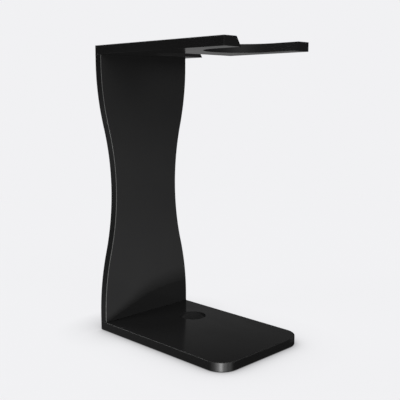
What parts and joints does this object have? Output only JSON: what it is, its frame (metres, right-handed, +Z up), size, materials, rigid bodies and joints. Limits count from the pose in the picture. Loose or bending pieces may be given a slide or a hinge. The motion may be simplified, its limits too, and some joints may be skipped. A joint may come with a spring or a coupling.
{
  "type": "headphone stand",
  "caption": "Free-standing desk stand: flat base with a round hole, waisted upright at the back, top plate with a flared front notch and a flared side slot.",
  "frame": {"origin": "centre of the footprint, at the bottom of the feet, on the surface that the stand rests on", "axes": "+Z up, -Y towards the front, where the notch opens, +X to the right, where the side slot opens"},
  "size_m": [0.1, 0.15, 0.252],
  "materials": {
    "gloss_panel": "polished black, high gloss, eased edges",
    "foot_rubber": "soft matt black",
    "fixing_steel": "bright zinc-plated"
  },
  "bodies": {
    "root": {"base_plate": "gloss_panel", "upright_panel": "gloss_panel", "top_plate": "gloss_panel", "foot_front_left": "foot_rubber", "foot_front_right": "foot_rubber", "foot_back_left": "foot_rubber", "foot_back_right": "foot_rubber", "base_screws": "fixing_steel", "base_pins": "fixing_steel", "top_pins": "fixing_steel"}
  },
  "joints": []
}
